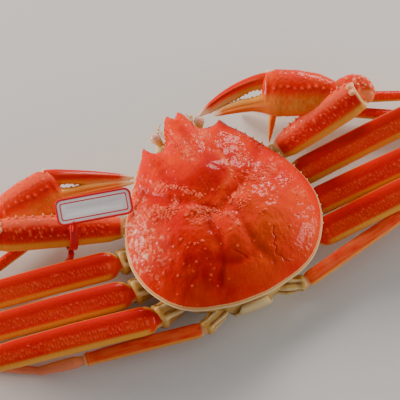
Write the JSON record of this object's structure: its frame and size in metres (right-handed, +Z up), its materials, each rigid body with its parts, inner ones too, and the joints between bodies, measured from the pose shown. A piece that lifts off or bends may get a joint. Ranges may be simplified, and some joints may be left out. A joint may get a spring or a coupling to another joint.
{
  "type": "snow crab",
  "caption": "Cooked male snow crab lying on its belly, walking legs and claws folded, with a blank plastic tag strapped to its left claw; a still display model.",
  "frame": {"origin": "middle of the crab's box in plan, on the floor it lies on", "axes": "+Y is where the crab faces, +X is the crab's right and the way its folded legs reach out, +Z is up"},
  "size_m": [0.4362, 0.1546, 0.0672],
  "materials": {
    "red_shell": "boiled orange-red shell, glossy and wet, with pale granules",
    "pale_shell": "pale yellow-olive underside shell, satin",
    "cream_shell": "cream shell, satin",
    "eye": "reddish-brown cornea, glossy",
    "tag_plastic": "white sheet plastic with a red rim",
    "strap_plastic": "red strap"
  },
  "bodies": {
    "root": {"carapace": "red_shell", "thorax": "pale_shell", "abdomen": "pale_shell", "mouthparts": "cream_shell", "eye_left": "eye", "eye_right": "eye", "antenna_left": "cream_shell", "antenna_right": "cream_shell", "tag_plate": "tag_plastic", "tag_strap": "strap_plastic", "claw_left_hip": "pale_shell", "claw_left_merus": "red_shell", "claw_left_carpus": "red_shell", "claw_left_palm": "red_shell", "claw_left_finger": "red_shell", "claw_right_hip": "pale_shell", "claw_right_merus": "red_shell", "claw_right_carpus": "red_shell", "claw_right_palm": "red_shell", "claw_right_finger": "red_shell", "leg1_left_hip": "pale_shell", "leg1_left_merus": "red_shell", "leg1_left_carpus": "red_shell", "leg1_left_propodus": "red_shell", "leg1_left_dactyl": "red_shell", "leg2_left_hip": "pale_shell", "leg2_left_merus": "red_shell", "leg2_left_carpus": "red_shell", "leg2_left_propodus": "red_shell", "leg2_left_dactyl": "red_shell", "leg3_left_hip": "pale_shell", "leg3_left_merus": "red_shell", "leg3_left_carpus": "red_shell", "leg3_left_propodus": "red_shell", "leg3_left_dactyl": "red_shell", "leg4_left_hip": "pale_shell", "leg4_left_merus": "red_shell", "leg4_left_carpus": "red_shell", "leg4_left_propodus": "red_shell", "leg4_left_dactyl": "red_shell", "leg1_right_hip": "pale_shell", "leg1_right_merus": "red_shell", "leg1_right_carpus": "red_shell", "leg1_right_propodus": "red_shell", "leg1_right_dactyl": "red_shell", "leg2_right_hip": "pale_shell", "leg2_right_merus": "red_shell", "leg2_right_carpus": "red_shell", "leg2_right_propodus": "red_shell", "leg2_right_dactyl": "red_shell", "leg3_right_hip": "pale_shell", "leg3_right_merus": "red_shell", "leg3_right_carpus": "red_shell", "leg3_right_propodus": "red_shell", "leg3_right_dactyl": "red_shell", "leg4_right_hip": "pale_shell", "leg4_right_merus": "red_shell", "leg4_right_carpus": "red_shell", "leg4_right_propodus": "red_shell", "leg4_right_dactyl": "red_shell"}
  },
  "joints": []
}
